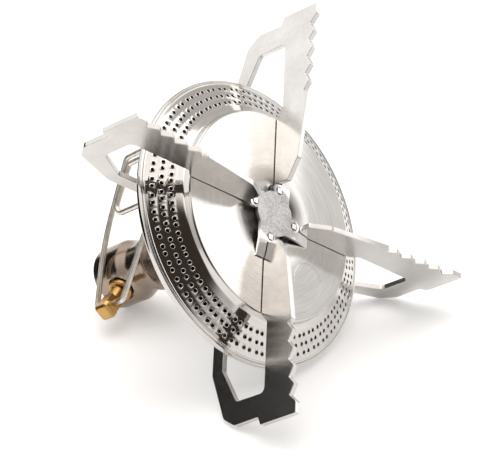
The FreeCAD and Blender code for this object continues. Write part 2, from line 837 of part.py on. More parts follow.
# ---------------------------------------------------------------- pot supports
def support_outline():
    """Outline of one support in its sheet: reach from the stove's axis, height."""
    low_tang = hinge_reach - tang_half
    high_tang = hinge_reach + tang_half
    finger_bottom = cap_top + S["fit_gap"]
    finger_top = plate_bottom - S["fit_gap"]
    arm_bottom = at(-S["arm_drop"])
    arm_top = arm_bottom + S["arm_width"]
    points = [
        (low_tang, plate_top + S["tang_stand"]),
        (high_tang, plate_top + S["tang_stand"]),
        (high_tang, finger_top),
        (nose_reach, finger_top),
        (nose_reach, at(S["nose_height"])),
        (S["brow_reach"], at(S["brow_height"])),
        (S["teeth_start"], at(S["teeth_start_height"])),
    ]
    for tooth in range(TOOTH_COUNT):
        peak = S["first_peak"] + tooth * S["tooth_pitch"]
        height = at(S["first_peak_height"] + tooth * S["tooth_rise"])
        notch_height = height - S["tooth_depth"]
        points.append((peak - S["tooth_lead"], notch_height))
        points.append((peak, height))
    points.pop()
    last_peak = S["first_peak"] + (TOOTH_COUNT - 1) * S["tooth_pitch"]
    points += [
        (last_peak, at(S["tip_height"])),
        (S["tip_reach"], at(S["tip_height"])),
        (S["tip_reach"] + S["fit_gap"], at(S["heel_height"])),
        (S["tip_reach"] + S["fit_gap"] - S["heel_step"], at(S["heel_height"] - 1)),
        (S["leg_reach"], at(-S["leg_foot"])),
        (S["toe_reach"], at(-S["toe_drop"])),
        (S["slope_reach"], arm_bottom),
        (high_tang, arm_bottom),
        (high_tang, lower_plate_bottom),
        (low_tang, lower_plate_bottom),
        (low_tang, arm_top),
        (S["slope_reach"] - S["window_foot"], arm_top),
        (S["window_reach"], at(-S["window_foot"])),
        (S["window_reach"], at(S["window_height"])),
        (S["window_brow_reach"], at(S["window_height"])),
        (S["window_step_reach"], finger_bottom),
        (low_tang, finger_bottom),
    ]
    return points


def make_support(number):
    body = new_body("pot_support_%d" % number)
    sketch = new_sketch(body, "support_outline_%d" % number, "XZ_Plane", -half_blade)
    draw_outline(sketch, support_outline())
    padded(body, sketch, S["blade"])
    doc.recompute()
    rounds = (
        ("window", S["window_corner"], (
            (S["window_reach"], at(S["window_height"])),
            (S["window_reach"], at(-S["window_foot"])),
        )),
        ("toe", S["toe_round"], (
            (S["leg_reach"], at(-S["leg_foot"])),
            (S["toe_reach"], at(-S["toe_drop"])),
            (S["brow_reach"], at(S["brow_height"])),
        )),
    )
    for name, radius, corners in rounds:
        base = body.Tip
        names = []
        for reach, height in corners:
            spot = FreeCAD.Vector(reach.value, 0, height.value)
            names += edges_where(base.Shape, lambda v: math.hypot(v.x - spot.x, v.z - spot.z) < 1e-3)
        fillet = body.newObject("PartDesign::Fillet", "%s_round_%d" % (name, number))
        fillet.Base = (base, names)
        bind(fillet, "Radius", radius)
        body.Tip = fillet
        doc.recompute()
    azimuth = FIRST_SUPPORT_AZIMUTH + (number - 1) * 360.0 / SIZES["support_count"]
    turn = FreeCAD.Rotation(FreeCAD.Vector(0, 0, 1), azimuth)
    side = turn.multVec(FreeCAD.Vector(0, -S["blade_offset"].value, 0))
    body.Placement = FreeCAD.Placement(side, turn)
    return body


pieces = [make_valve_body()]
pieces += make_socket_pieces()
pieces += [make_gas_jet(), make_gland_nut(), make_stem_seal(), make_valve_stem(), make_flame_adjuster()]
pieces += [make_mixing_tube(), make_collar(), make_tube_screws()]
pieces += [make_lower_plate(), make_spacer(), make_tube_nut()]
pieces += [make_burner_top(), make_burner_bowl()]
pieces += make_head_stack()
pieces += [make_hub_plate()]
pieces += [make_support(number) for number in range(1, SIZES["support_count"] + 1)]
doc.recompute()

for item in doc.Objects:
    bad = [state for state in item.State if state in ("Invalid", "Error")]
    if bad:
        raise RuntimeError("%s is %s" % (item.Name, bad))
for piece in pieces:
    if piece.Shape.isNull() or not piece.Shape.isValid() or not piece.Shape.Solids:
        raise RuntimeError("%s has no valid solid" % piece.Label)

os.makedirs("parts", exist_ok=True)
for piece in pieces:
    piece.Shape.exportStep("parts/%s.step" % piece.Label)
    print(piece.Label, len(piece.Shape.Solids), round(piece.Shape.Volume, 2))
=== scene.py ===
import json
import math
import bmesh
import bpy
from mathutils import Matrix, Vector


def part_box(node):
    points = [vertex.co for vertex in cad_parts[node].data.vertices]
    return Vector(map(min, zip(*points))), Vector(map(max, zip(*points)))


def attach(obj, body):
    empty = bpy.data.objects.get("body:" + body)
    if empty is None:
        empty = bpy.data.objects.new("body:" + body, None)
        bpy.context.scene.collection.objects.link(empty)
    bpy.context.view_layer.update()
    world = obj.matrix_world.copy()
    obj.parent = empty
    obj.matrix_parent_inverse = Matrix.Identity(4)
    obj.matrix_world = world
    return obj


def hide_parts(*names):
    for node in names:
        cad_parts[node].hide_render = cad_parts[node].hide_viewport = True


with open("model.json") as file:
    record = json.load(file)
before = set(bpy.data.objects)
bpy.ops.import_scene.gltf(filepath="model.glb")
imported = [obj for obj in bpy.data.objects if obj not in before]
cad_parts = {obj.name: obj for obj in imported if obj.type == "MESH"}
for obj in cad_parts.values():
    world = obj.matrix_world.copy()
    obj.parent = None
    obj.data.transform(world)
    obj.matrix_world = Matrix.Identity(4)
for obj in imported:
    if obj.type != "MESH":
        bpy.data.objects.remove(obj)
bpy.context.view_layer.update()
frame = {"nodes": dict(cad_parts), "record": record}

MM = 0.001
TURN = 2 * math.pi
Z_AXIS = Vector((0, 0, 1))
JOINTS = {joint["name"]: joint for joint in frame["record"]["behaviour"]["joints"]}
RIM_Z = JOINTS["support_swing_1"]["pos_m"][2]
STOVE_CENTRE = Vector((0, 0, RIM_Z))
SUPPORTS = sorted(name for name in frame["nodes"] if name.startswith("pot_support"))
WELD_DISTANCE = 0.002 * MM


# ---------------------------------------------------------------- mesh helpers
def new_piece(name, mesh, body, smooth_angle):
    """Object from a bmesh, smooth but for edges sharper than the angle, riding on a body."""
    data = bpy.data.meshes.new(name)
    mesh.to_mesh(data)
    mesh.free()
    data.polygons.foreach_set("use_smooth", [True] * len(data.polygons))
    data.set_sharp_from_angle(angle=math.radians(smooth_angle))
    piece = bpy.data.objects.new(name, data)
    bpy.context.scene.collection.objects.link(piece)
    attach(piece, body)
    return piece


def rounded(points):
    """Open profile from (radius, height, rounding) points, its corners turned into curves."""
    steps = 5
    path = [Vector(points[0][:2])]
    for before, corner, after in zip(points, points[1:], points[2:]):
        middle = Vector(corner[:2])
        backward = Vector(before[:2]) - middle
        onward = Vector(after[:2]) - middle
        reach = min(corner[2], backward.length * 0.49, onward.length * 0.49)
        if reach <= 0:
            path.append(middle)
            continue
        start = middle + backward.normalized() * reach
        end = middle + onward.normalized() * reach
        for step in range(steps + 1):
            share = step / steps
            path.append(start.lerp(middle, share).lerp(middle.lerp(end, share), share))
    path.append(Vector(points[-1][:2]))
    return path


def around_axis(mesh, point, angle):
    """New vertex at a profile point (radius, height) turned about the stove's axis."""
    return mesh.verts.new((point.x * math.cos(angle), point.x * math.sin(angle), point.y))


def revolve(mesh, path, segments):
    """Adds the surface of a profile (radius, height) turned about the stove's axis."""
    rings = [
        [around_axis(mesh, point, TURN * step / segments) for step in range(segments)]
        for point in path
    ]
    for low, high in zip(rings, rings[1:]):
        for step in range(segments):
            after = (step + 1) % segments
            mesh.faces.new((low[step], low[after], high[after], high[step]))


def level_normals(piece):
    """Keeps large flat faces flat beside their small bevels."""
    weighted = piece.modifiers.new("normals", "WEIGHTED_NORMAL")
    weighted.mode = "FACE_AREA_WITH_ANGLE"
    weighted.weight = 100
    weighted.keep_sharp = True
    return piece


def thicken(piece, thickness):
    """Gives an open sheet its thickness, away from its outer side."""
    solid = piece.modifiers.new("sheet", "SOLIDIFY")
    solid.thickness = thickness
    solid.offset = -1
    solid.use_even_offset = False
    return piece


CORNER_ROUNDING = 0.3 * MM
EDGE_ROUNDING = 0.14 * MM
STAKE_REACH = 8.6 * MM
STAKE_STAND = 0.12 * MM


def sharp(edge, least):
    """Whether an edge turns by more than an angle in degrees."""
    return len(edge.link_faces) == 2 and edge.calc_face_angle(0) > math.radians(least)


def break_edges(mesh, edges, width, segments):
    bmesh.ops.bevel(
        mesh, geom=edges, offset=width, segments=segments, profile=0.5, affect="EDGES",
        clamp_overlap=True,
    )


def refined(node, body):
    """A CAD sheet piece again: corners rounded, edges broken, stakes level above the hub plate."""
    mesh = bmesh.new()
    mesh.from_mesh(frame["nodes"][node].data)
    bmesh.ops.remove_doubles(mesh, verts=mesh.verts, dist=WELD_DISTANCE)
    flat = math.radians(1)
    bmesh.ops.dissolve_limit(mesh, angle_limit=flat, verts=mesh.verts, edges=mesh.edges)
    low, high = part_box(node)
    sizes = [high[axis] - low[axis] for axis in range(3)]
    through = Vector([1.0 if size == min(sizes) else 0.0 for size in sizes])

    def crosses_sheet(edge):
        way = (edge.verts[1].co - edge.verts[0].co).normalized()
        return abs(way.dot(through)) > 0.99

    corners = [edge for edge in mesh.edges if sharp(edge, 25) and crosses_sheet(edge)]
    break_edges(mesh, corners, CORNER_ROUNDING, 4)
    outline = [edge for edge in mesh.edges if sharp(edge, 50)]
    break_edges(mesh, outline, EDGE_ROUNDING, 3)
    stake_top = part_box("hub_plate")[1][2] + STAKE_STAND
    for vertex in mesh.verts:
        if vertex.co.xy.length < STAKE_REACH:
            vertex.co.z = min(vertex.co.z, stake_top)
    piece = new_piece(node + "_sheet", mesh, body, 30)
    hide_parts(node)
    return level_normals(piece)


def soften(node, width):
    """Keeps a CAD node's shape and breaks its edges with modifiers."""
    piece = frame["nodes"][node]
    weld = piece.modifiers.new("weld", "WELD")
    weld.merge_threshold = WELD_DISTANCE
    bevel = piece.modifiers.new("edges", "BEVEL")
    bevel.width = width
    bevel.segments = 3
    bevel.limit_method = "ANGLE"
    bevel.angle_limit = math.radians(40)
    level_normals(piece)


# ---------------------------------------------------------------- materials
class Nodes:
    """A material's node tree, with short calls for the nodes that the finishes share."""

    def __init__(self, name):
        self.material = bpy.data.materials.new(name)
        self.material.use_nodes = True
        self.tree = self.material.node_tree
        self.shader = self.tree.nodes["Principled BSDF"]
        self.place = self.add("ShaderNodeTexCoord").outputs["Object"]

    def add(self, kind, **settings):
        node = self.tree.nodes.new(kind)
        for name, value in settings.items():
            setattr(node, name, value)
        return node

    def link(self, source, target):
        self.tree.links.new(source, target)

    def math(self, operation, first, second=None):
        node = self.add("ShaderNodeMath", operation=operation)
        for slot, value in zip(node.inputs, (first, second)):
            if value is None:
                continue
            if isinstance(value, (int, float)):
                slot.default_value = value
            else:
                self.link(value, slot)
        return node.outputs[0]

    def noise(self, vector, scale, detail=4.0, roughness=0.6):
        node = self.add("ShaderNodeTexNoise")
        node.inputs["Scale"].default_value = scale
        node.inputs["Detail"].default_value = detail
        node.inputs["Roughness"].default_value = roughness
        self.link(vector, node.inputs["Vector"])
        return node.outputs["Fac"]

    def stretched(self, scale):
        """Object coordinates scaled by axis, for streaks."""
        node = self.add("ShaderNodeVectorMath", operation="MULTIPLY")
        self.link(self.place, node.inputs[0])
        node.inputs[1].default_value = scale
        return node.outputs[0]

    def rings(self, fine, around):
        """Coordinates that change fast with the distance from the Z axis and slowly around it."""
        split = self.add("ShaderNodeSeparateXYZ")
        self.link(self.place, split.inputs[0])
        x, y, z = split.outputs
        squares = self.math("ADD", self.math("MULTIPLY", x, x), self.math("MULTIPLY", y, y))
        radius = self.math("SQRT", squares)
        safe = self.math("MAXIMUM", radius, 0.1 * MM)
        outward = self.math("MULTIPLY", radius, fine)
        upward = self.math("MULTIPLY", z, fine)
        join = self.add("ShaderNodeCombineXYZ")
        self.link(self.math("ADD", outward, upward), join.inputs[0])
        for axis, value in ((1, x), (2, y)):
            share = self.math("DIVIDE", value, safe)
            self.link(self.math("MULTIPLY", share, around), join.inputs[axis])
        return join.outputs[0]

    def radius(self):
        """Distance from the stove's axis."""
        flat = self.add("ShaderNodeVectorMath", operation="MULTIPLY")
        self.link(self.place, flat.inputs[0])
        flat.inputs[1].default_value = (1, 1, 0)
        length = self.add("ShaderNodeVectorMath", operation="LENGTH")
        self.link(flat.outputs[0], length.inputs[0])
        return length.outputs["Value"]

    def ramp(self, value, stops):
        node = self.add("ShaderNodeValToRGB")
        ramp = node.color_ramp
        while len(ramp.elements) < len(stops):
            ramp.elements.new(0.5)
        for element, (position, colour) in zip(ramp.elements, stops):
            element.position = position
            element.color = (*colour, 1)
        self.link(value, node.inputs["Fac"])
        return node.outputs["Color"]

    def blend(self, first, share, second):
        """Sum of two values, the first with the given share of it."""
        rest = round(1 - share, 2)
        return self.math("ADD", self.math("MULTIPLY", first, share), self.math("MULTIPLY", second, rest))

    def smooth_step(self, value, start, end):
        """Smooth change over a range of the value. Returns the node."""
        node = self.add("ShaderNodeMapRange", interpolation_type="SMOOTHSTEP")
        node.inputs["From Min"].default_value = start
        node.inputs["From Max"].default_value = end
        self.link(value, node.inputs["Value"])
        return node

    def span(self, value, low, high):
        node = self.add("ShaderNodeMapRange")
        node.inputs["To Min"].default_value = low
        node.inputs["To Max"].default_value = high
        self.link(value, node.inputs["Value"])
        return node.outputs["Result"]

    def bump(self, height, strength, distance):
        node = self.add("ShaderNodeBump")
        node.inputs["Strength"].default_value = strength
        node.inputs["Distance"].default_value = distance
        self.link(height, node.inputs["Height"])
        return node.outputs["Normal"]

    def finish(self, colour, roughness, normal, metallic=1.0):
        self.link(colour, self.shader.inputs["Base Color"])
        self.link(roughness, self.shader.inputs["Roughness"])
        self.link(normal, self.shader.inputs["Normal"])
        self.shader.inputs["Metallic"].default_value = metallic
        return self.material


def tint(colour, factor):
    return tuple(min(1.0, channel * factor) for channel in colour)


def spun_steel(name, colour, brushed, bright, border):
    """Steel spun about the axis: brushed in circles inside the border radius, bright outside."""
    n = Nodes(name)
    fine = n.noise(n.rings(2600, 3.0), 1.0, 3.0)
    broad = n.noise(n.rings(320, 1.2), 1.0, 2.0)
    stain = n.noise(n.place, 45, 3.0)
    mixed = n.blend(fine, 0.6, broad)
    shade = n.ramp(n.blend(mixed, 0.7, stain), [
        (0.36, tint(colour, 0.86)), (0.64, tint(colour, 1.08)),
    ])
    step = n.smooth_step(n.radius(), border, border + 0.6 * MM)
    step.inputs["To Min"].default_value = brushed
    step.inputs["To Max"].default_value = bright
    rough = n.math("MULTIPLY", step.outputs["Result"], n.span(mixed, 0.7, 1.3))
    n.shader.inputs["Anisotropic"].default_value = 0.8
    n.shader.inputs["Anisotropic Rotation"].default_value = 0.25
    tangent = n.add("ShaderNodeTangent", direction_type="RADIAL", axis="Z")
    n.link(tangent.outputs[0], n.shader.inputs["Tangent"])
    return n.finish(shade, rough, n.bump(mixed, 0.12, 0.02 * MM))


def sheet_steel(name, colour, rough):
    """Tumbled sheet: fine grain with faint scratches in no direction."""
    n = Nodes(name)
    grain = n.noise(n.place, 2600, 4.0, 0.7)
    cloud = n.noise(n.place, 120, 3.0)
    scratch = n.noise(n.stretched((900, 900, 5200)), 1.0, 2.0)
    mixed = n.blend(grain, 0.5, scratch)
    shade = n.ramp(n.blend(mixed, 0.5, cloud), [
        (0.35, tint(colour, 0.88)), (0.65, tint(colour, 1.08)),
    ])
    return n.finish(shade, n.span(mixed, rough * 0.75, rough * 1.25), n.bump(mixed, 0.2, 0.02 * MM))


def speckled(n, colour, rough, grain_scale, speckle):
    """Grain, speckled colour and uneven roughness of a blasted or cast metal."""
    grain = n.noise(n.place, grain_scale, 5.0, 0.7)
    cloud = n.noise(n.place, 160, 3.0)
    mixed = n.blend(grain, 0.75, cloud)
    shade = n.ramp(mixed, [(0.38, tint(colour, 1 - speckle)), (0.62, tint(colour, 1 + speckle))])
    return grain, shade, n.span(mixed, rough * 0.8, rough * 1.2)


def grainy_metal(name, colour, rough, grain_scale, depth, speckle):
    """Blasted or cast metal: grain in the colour, the roughness and the relief."""
    n = Nodes(name)
    grain, shade, roughness = speckled(n, colour, rough, grain_scale, speckle)
    return n.finish(shade, roughness, n.bump(grain, 0.35, depth))


# radii over which the tongues' painted highlight and smoother finish fade in
TONGUE_SHEEN_FROM = 7.4 * MM
TONGUE_SHEEN_TO = 8.8 * MM


def plate_metal(name, colour, rough, grain_scale, depth, speckle):
    """Blasted plate; beyond its edge the tongues are smoother and carry a painted highlight, a lighter
    colour standing in for their reflection.
    """
    n = Nodes(name)
    grain, shade, blasted = speckled(n, colour, rough, grain_scale, speckle)
    # painted highlight: the tongues' colour is lightened to stand in for the light they reflect; the
    # same mask also lowers their roughness
    bright = n.ramp(grain, [(0.3, (0.80, 0.79, 0.78)), (0.7, (0.94, 0.93, 0.92))])
    sheen_and_polish = n.smooth_step(n.radius(), TONGUE_SHEEN_FROM, TONGUE_SHEEN_TO).outputs["Result"]
    painted_sheen_mix = n.add("ShaderNodeMix", data_type="RGBA")
    n.link(sheen_and_polish, painted_sheen_mix.inputs["Factor"])
    n.link(shade, painted_sheen_mix.inputs["A"])
    n.link(bright, painted_sheen_mix.inputs["B"])
    polish = n.math("SUBTRACT", 1.0, n.math("MULTIPLY", sheen_and_polish, 0.45))
    roughness = n.math("MULTIPLY", blasted, polish)
    return n.finish(painted_sheen_mix.outputs["Result"], roughness, n.bump(grain, 0.35, depth))


def turned_metal(name, colour, rough):
    """Brass and small turned steel: fine marks and slight tarnish."""
    n = Nodes(name)
    marks = n.noise(n.stretched((900, 2400, 5200)), 1.0, 3.0)
    tarnish = n.noise(n.place, 420, 4.0)
    shade = n.ramp(n.blend(marks, 0.35, tarnish), [
        (0.3, tint(colour, 0.72)), (0.7, tint(colour, 1.08)),
    ])
    roughness = n.span(tarnish, rough * 0.7, rough * 1.5)
    return n.finish(shade, roughness, n.bump(marks, 0.15, 0.03 * MM))


def rubber(name):
    n = Nodes(name)
    grain = n.noise(n.place, 1800, 3.0)
    shade = n.ramp(grain, [(0.3, (0.012, 0.012, 0.012)), (0.7, (0.035, 0.034, 0.033))])
    relief = n.bump(grain, 0.2, 0.03 * MM)
    return n.finish(shade, n.span(grain, 0.55, 0.75), relief, metallic=0.0)


STEEL = (0.66, 0.635, 0.61)
MATERIALS = {
    "burner_steel": spun_steel("spun_burner_steel", STEEL, 0.19, 0.10, 28.9 * MM),
    "support_steel": sheet_steel("tumbled_support_steel", (0.66, 0.64, 0.62), 0.2),
    "plate_steel": plate_metal(
        "blasted_plate_steel", (0.50, 0.485, 0.475), 0.42, 2700, 0.07 * MM, 0.42,
    ),
    "body_metal": grainy_metal(
        "satin_body_metal", (0.36, 0.285, 0.235), 0.22, 2600, 0.012 * MM, 0.10,
    ),
    "brass": turned_metal("turned_brass", (0.62, 0.37, 0.13), 0.27),
    "wire_steel": turned_metal("drawn_wire_steel", (0.90, 0.86, 0.79), 0.34),
    "tube_steel": turned_metal("tube_steel", (0.62, 0.59, 0.56), 0.26),
    "fastener_steel": turned_metal("fastener_steel", (0.52, 0.50, 0.48), 0.3),
    "filter_bronze": grainy_metal(
        "sintered_bronze", (0.50, 0.36, 0.22), 0.55, 5200, 0.1 * MM, 0.35,
    ),
    "seal_rubber": rubber("seal_rubber"),
}
SLOT_OF = {entry["node"]: entry["material_slot"] for entry in frame["record"]["subparts"]}


def paint(piece, slot):
    piece.data.materials.clear()
    piece.data.materials.append(MATERIALS[slot])
    return piece


def finish_of(piece, node):
    """Gives a new piece the slot and material of the node that it stands for."""
    return paint(piece, SLOT_OF[node])


# ---------------------------------------------------------------- burner
PORTS_IN_ROW = 102
PORT_ROWS = 3
PORT_SIDES = 16
LIP_START = 10
CELL_SIDES = 4
PORT_LIP = ((0.70, 0.0), (0.64, 0.03), (0.59, 0.04), (0.54, 0.01), (0.50, -0.20))
PAIR_SHIFT = math.radians(0.25)
FIRST_PAIR = math.radians(176.4)
CONE_INNER = (31.45, 4.553)
CONE_OUTER = (38.2, 1.0)
CAP_HEIGHT = 7.3
CAP_PROFILE = (
    (*CONE_INNER, 0), (29.62, 5.52, 0.4), (29.15, CAP_HEIGHT, 0.5), (15.0, CAP_HEIGHT, 0),
    (1.6, CAP_HEIGHT, 0),
)
RIM_PROFILE = (
    (*CONE_OUTER, 0), (38.72, 0.72, 0.12), (38.95, 0.82, 0.15), (39.2, 0.64, 0.12),
    (39.36, 0.26, 0.1), (39.55, 0.55, 0.15), (39.85, 0.42, 0.25), (40.0, -0.1, 0.35),
    (40.0, -1.0, 0.4), (39.6, -1.48, 0.4), (38.5, -1.48, 0),
)
TOP_THICKNESS = 0.35 * MM
BOWL_THICKNESS = 0.4 * MM
BOWL_SEGMENTS = 288


def perforated_cone(mesh):
    """Cone with three staggered rows of lipped ports. Returns its inner and outer rings."""
    inner = Vector(CONE_INNER) * MM
    outer = Vector(CONE_OUTER) * MM
    slope = (outer - inner).normalized()
    normal = Vector((-slope.y, slope.x))
    length = (outer - inner).length
    quarters = CELL_SIDES * PORTS_IN_ROW
    step = TURN / quarters
    levels = CELL_SIDES * PORT_ROWS
    corners = {}

    def place(angle, along, lift=0.0):
        spot = inner + slope * along + normal * lift
        spot.y += RIM_Z
        return around_axis(mesh, spot, angle)

    def corner(quarter, level):
        key = (quarter % quarters, level)
        if key not in corners:
            corners[key] = place(FIRST_PAIR + key[0] * step, length * level / levels)
        return corners[key]

    def cell_border(first, low):
        """The 16 vertices around one port's cell, from its corner."""
        far = CELL_SIDES
        border = [corner(first + k, low) for k in range(far)]
        border += [corner(first + far, low + k) for k in range(far)]
        border += [corner(first + far - k, low + far) for k in range(far)]
        border += [corner(first, low + far - k) for k in range(far)]
        return border

    def lip_ring(centre, middle_along, radius, height):
        """One ring of a port's lip, turned a quarter against its cell's border."""
        here = (inner + slope * middle_along).x
        ring = []
        for k in range(PORT_SIDES):
            turn = TURN * (k - LIP_START) / PORT_SIDES
            angle = centre + radius * math.cos(turn) / here
            ring.append(place(angle, middle_along + radius * math.sin(turn), height))
        return ring

    for row in range(PORT_ROWS):
        low = CELL_SIDES * row
        middle_along = length * (low + 2) / levels
        for port in range(PORTS_IN_ROW):
            first = CELL_SIDES * port + 2 * row - 4
            toward = PAIR_SHIFT if port % 2 else -PAIR_SHIFT
            centre = FIRST_PAIR + (first + 2) * step + toward
            border = cell_border(first, low)
            rings = [lip_ring(centre, middle_along, r * MM, h * MM) for r, h in PORT_LIP]
            for before, after in zip([border] + rings, rings):
                for k in range(PORT_SIDES):
                    nxt = (k + 1) % PORT_SIDES
                    mesh.faces.new((before[k], before[nxt], after[nxt], after[k]))
    inner_ring = [corner(q, 0) for q in range(quarters)]
    outer_ring = [corner(q, levels) for q in range(quarters)]
    return inner_ring, outer_ring


def revolve_from(mesh, ring, path, outward):
    """Continues the sheet from a ring of vertices along a profile."""
    last = ring
    for point in path:
        after = []
        for vertex in ring:
            angle = math.atan2(vertex.co.y, vertex.co.x)
            after.append(around_axis(mesh, point, angle))
        for k in range(len(ring)):
            nxt = (k + 1) % len(ring)
            quad = (last[k], last[nxt], after[nxt], after[k])
            mesh.faces.new(quad if outward else tuple(reversed(quad)))
        last = after


def over_rim(points):
    """Profile points in millimetres over the rim plane, turned into metres in the frame."""
    return [(r * MM, RIM_Z + z * MM, round_ * MM) for r, z, round_ in points]


def make_burner_top():
    """Spun cap, step, perforated cone and the rolled double bead of the rim."""
    mesh = bmesh.new()
    inner_ring, outer_ring = perforated_cone(mesh)
    step_and_cap = rounded(over_rim(CAP_PROFILE))
    revolve_from(mesh, inner_ring, step_and_cap[1:], outward=False)
    bead = rounded(over_rim(RIM_PROFILE))
    revolve_from(mesh, outer_ring, bead[1:], outward=True)
    bmesh.ops.recalc_face_normals(mesh, faces=mesh.faces)
    piece = new_piece("burner_top_sheet", mesh, "burner", 40)
    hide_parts("burner_top")
    thicken(piece, TOP_THICKNESS)
    finish_of(piece, "burner_top")


def make_burner_bowl():
    """Pressed lower shell with a stiffening step around its neck."""
    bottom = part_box("burner_bowl")[0][2] / MM - RIM_Z / MM
    raised = bottom + 0.35
    mesh = bmesh.new()
    path = rounded(over_rim([
        (5.6, bottom, 0), (9.5, bottom, 0.8), (10.5, raised, 0.8), (22.0, raised, 0.8),
        (23.0, bottom, 0.8), (32.6, bottom, 2.0), (37.6, -1.6, 0.8), (39.0, -0.65, 0),
    ]))
    revolve(mesh, path, BOWL_SEGMENTS)
    bmesh.ops.recalc_face_normals(mesh, faces=mesh.faces)
    bmesh.ops.reverse_faces(mesh, faces=mesh.faces)
    piece = new_piece("burner_bowl_sheet", mesh, "burner", 40)
    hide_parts("burner_bowl")
    thicken(piece, BOWL_THICKNESS)
    finish_of(piece, "burner_bowl")


THREAD_RADIUS = 5.24 * MM
THREAD_PITCH = 0.907 * MM
THREAD_DEPTH = 0.34 * MM
THREAD_START = 0.35 * MM
THREAD_TURNS = 4
THREAD_SEGMENTS = 48
THREAD_SECTION = ((-0.42, 0), (-0.1, 1), (0.1, 1), (0.42, 0))


def make_thread():
    """Helical crest of the canister thread inside the socket."""
    mesh = bmesh.new()
    rows = []
    for step in range(THREAD_SEGMENTS * THREAD_TURNS + 1):
        angle = TURN * step / THREAD_SEGMENTS
        height = THREAD_START + THREAD_PITCH * step / THREAD_SEGMENTS
        row = []
        for shift, depth in THREAD_SECTION:
            radius = THREAD_RADIUS - THREAD_DEPTH * depth
            x, y = radius * math.cos(angle), radius * math.sin(angle)
            row.append(mesh.verts.new((x, y, height + THREAD_PITCH * shift)))
        rows.append(row)
    for low, high in zip(rows, rows[1:]):
        for k in range(3):
            mesh.faces.new((low[k], low[k + 1], high[k + 1], high[k]))
    bmesh.ops.recalc_face_normals(mesh, faces=mesh.faces)
    piece = new_piece("canister_thread", mesh, "burner", 20)
    finish_of(piece, "valve_body")


STAMP_PLACE = Vector((14.6, -14.5)) * MM
STAMP_RADIUS = 5.0 * MM
STAMP_SEGMENTS = 96
STAMP_HEIGHT = 7.302 * MM
STAMP_SECTION = ((-0.3, 0.0), (-0.15, 0.035), (0.0, 0.05), (0.15, 0.035), (0.3, 0.0))


def make_stamp():
    """A plain stamped ring on the cap."""
    mesh = bmesh.new()
    top = RIM_Z + STAMP_HEIGHT
    rows = []
    for step in range(STAMP_SEGMENTS):
        angle = TURN * step / STAMP_SEGMENTS
        row = []
        for outward, lift in STAMP_SECTION:
            radius = STAMP_RADIUS + outward * MM
            place = STAMP_PLACE + Vector((math.cos(angle), math.sin(angle))) * radius
            row.append(mesh.verts.new((place.x, place.y, top + lift * MM)))
        rows.append(row)
    for low, high in zip(rows, rows[1:] + rows[:1]):
        for k in range(len(STAMP_SECTION) - 1):
            mesh.faces.new((low[k], low[k + 1], high[k + 1], high[k]))
    bmesh.ops.recalc_face_normals(mesh, faces=mesh.faces)
    mesh.normal_update()
    piece = new_piece("cap_stamp", mesh, "burner", 60)
    finish_of(piece, "burner_top")


# ---------------------------------------------------------------- flame adjuster
WIRE_RADIUS = 0.8 * MM
FOLD_AZIMUTH = math.radians(102)
WIRE_SIDES = 20
WIRE_ROUTE = (
    (0.0, -1.0, 0), (0.0, -5.4, 1.4), (17.5, 0.0, 60.0), (38.8, 12.6, 2.0), (39.2, 25.4, 0.98),
    (37.2, 25.4, 0.98), (36.8, 13.5, 1.0), (24.2, 5.0, 2.0), (24.2, 22.6, 2.0), (0.0, 5.4, 1.4),
    (0.0, 1.0, 0),
)


def bent_path(route):
    """Straight runs joined by tangent arcs, from (reach, height, bend radius) in millimetres."""
    path = [Vector(route[0][:2])]
    for before, corner, after in zip(route, route[1:], route[2:]):
        middle = Vector(corner[:2])
        back_way = (Vector(before[:2]) - middle).normalized()
        on_way = (Vector(after[:2]) - middle).normalized()
        half = back_way.angle(on_way) / 2
        centre = middle + (back_way + on_way).normalized() * corner[2] / math.sin(half)
        start = middle + back_way * corner[2] / math.tan(half) - centre
        sweep = start.angle_signed(middle + on_way * corner[2] / math.tan(half) - centre)
        steps = max(4, round(abs(sweep) / math.radians(7)))
        for step in range(steps + 1):
            turn = -sweep * step / steps
            path.append(centre + Vector((
                start.x * math.cos(turn) - start.y * math.sin(turn),
                start.x * math.sin(turn) + start.y * math.cos(turn),
            )))
    path.append(Vector(route[-1][:2]))
    return path


def make_wire():
    """The adjuster's bent wire, round all the way, folded up beside the mixing tube."""
    hinge = Vector(JOINTS["handle_fold"]["pos_m"])
    along = Vector((math.cos(FOLD_AZIMUTH), math.sin(FOLD_AZIMUTH), 0))
    side = Z_AXIS.cross(along)
    path = bent_path(WIRE_ROUTE)
    mesh = bmesh.new()
    rings = []
    for place, spot in enumerate(path):
        way = (path[min(place + 1, len(path) - 1)] - path[max(place - 1, 0)]).normalized()
        across = along * -way.y + Z_AXIS * way.x
        centre = hinge + (along * spot.x + Z_AXIS * spot.y) * MM
        ring = []
        for step in range(WIRE_SIDES):
            turn = TURN * step / WIRE_SIDES
            outward = across * math.cos(turn) + side * math.sin(turn)
            ring.append(mesh.verts.new(centre + outward * WIRE_RADIUS))
        rings.append(ring)
    for low, high in zip(rings, rings[1:]):
        for step in range(WIRE_SIDES):
            after = (step + 1) % WIRE_SIDES
            mesh.faces.new((low[step], low[after], high[after], high[step]))
    mesh.faces.new(tuple(reversed(rings[0])))
    mesh.faces.new(tuple(rings[-1]))
    bmesh.ops.recalc_face_normals(mesh, faces=mesh.faces)
    piece = new_piece("flame_adjuster_wire", mesh, "handle", 60)
    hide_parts("flame_adjuster")
    finish_of(piece, "flame_adjuster")


# ---------------------------------------------------------------- stage, light and camera
VIEW_AZIMUTH = math.radians(-55.44)
VIEW_ELEVATION = math.radians(41.54)
VIEW_ROLL = math.radians(68.06)
VIEW_DISTANCE = 648.9 * MM
VIEW_SLIDE = Vector((-0.43, -2.65)) * MM
LENS_MM = 175.3
SENSOR_MM = 36.0

